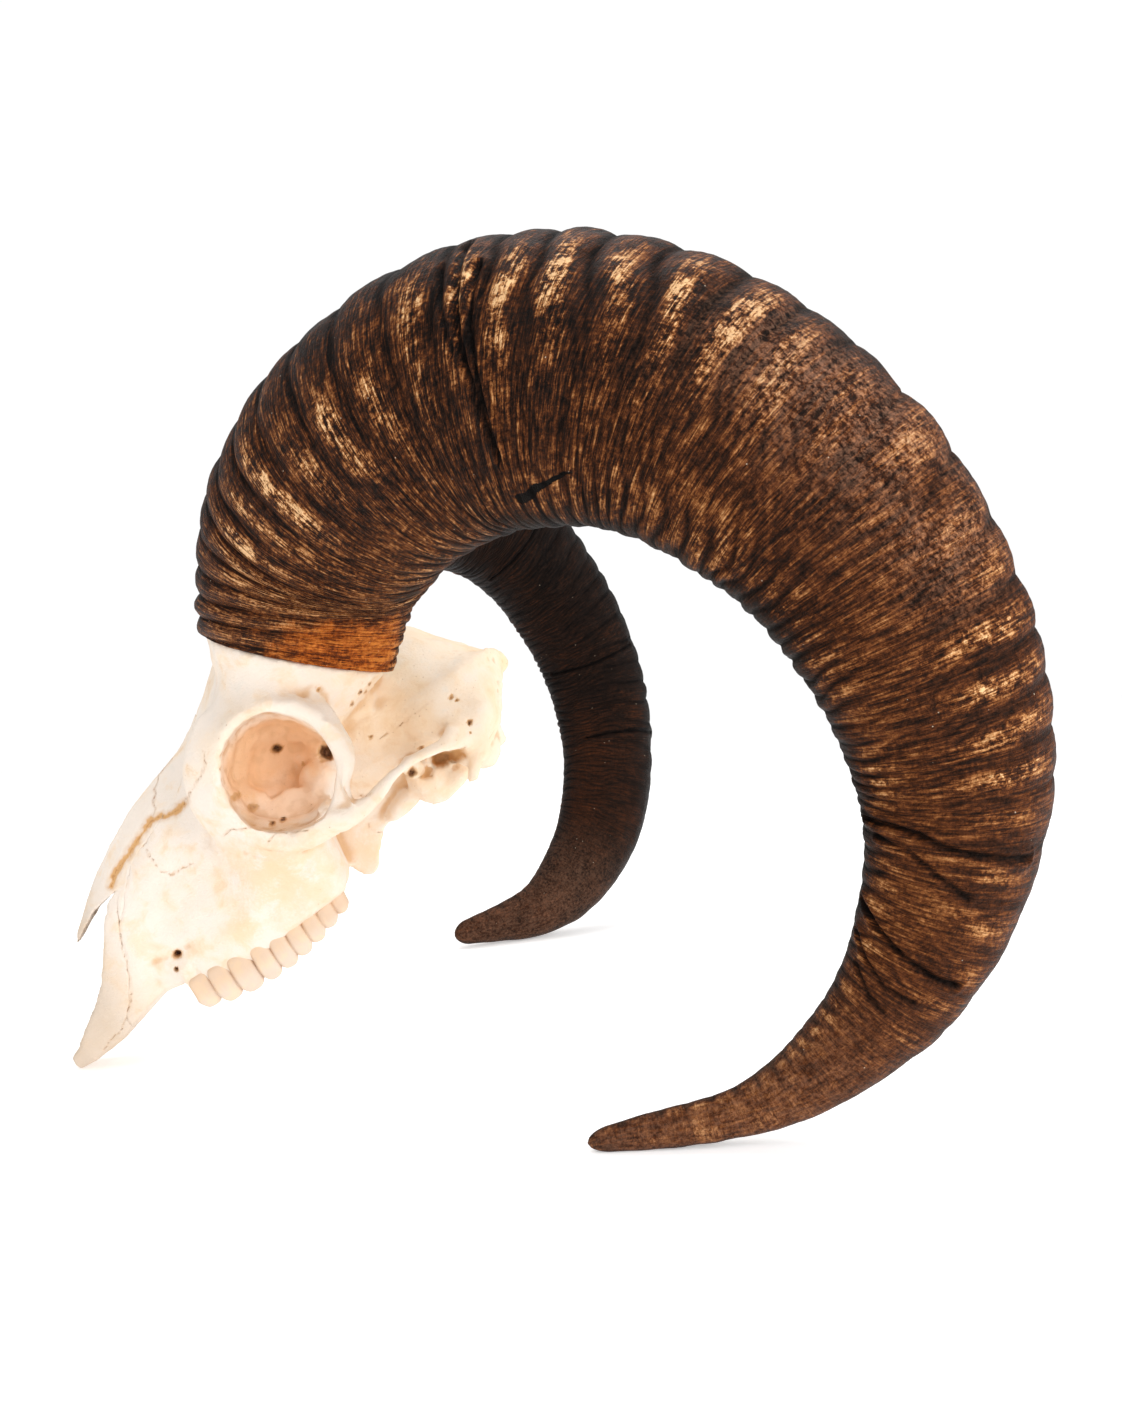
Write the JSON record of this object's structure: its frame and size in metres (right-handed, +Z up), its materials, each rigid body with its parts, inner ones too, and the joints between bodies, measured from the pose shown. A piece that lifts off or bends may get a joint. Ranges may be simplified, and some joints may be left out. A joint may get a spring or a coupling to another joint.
{
  "type": "ram skull",
  "caption": "Life-size mouflon ram skull without the lower jaw, with large curled and ribbed horns, resting on the muzzle tip and the horns' undersides.",
  "frame": {"origin": "centre of the footprint, on the surface that the skull rests on", "axes": "+Z up from the surface, -X the way the muzzle points, -Y the animal's left side"},
  "size_m": [0.3104, 0.5072, 0.2898],
  "materials": {
    "bone": "cleaned bone, ivory white with tan in the hollows, fine pores and open seams, matt",
    "horn": "natural ribbed horn, dark brown with golden worn crests and fine lengthwise fibres, satin"
  },
  "bodies": {
    "root": {"skull": "bone", "nasal_left": "bone", "nasal_right": "bone", "premaxilla_left": "bone", "premaxilla_right": "bone", "horn_left": "horn", "horn_right": "horn"}
  },
  "joints": []
}
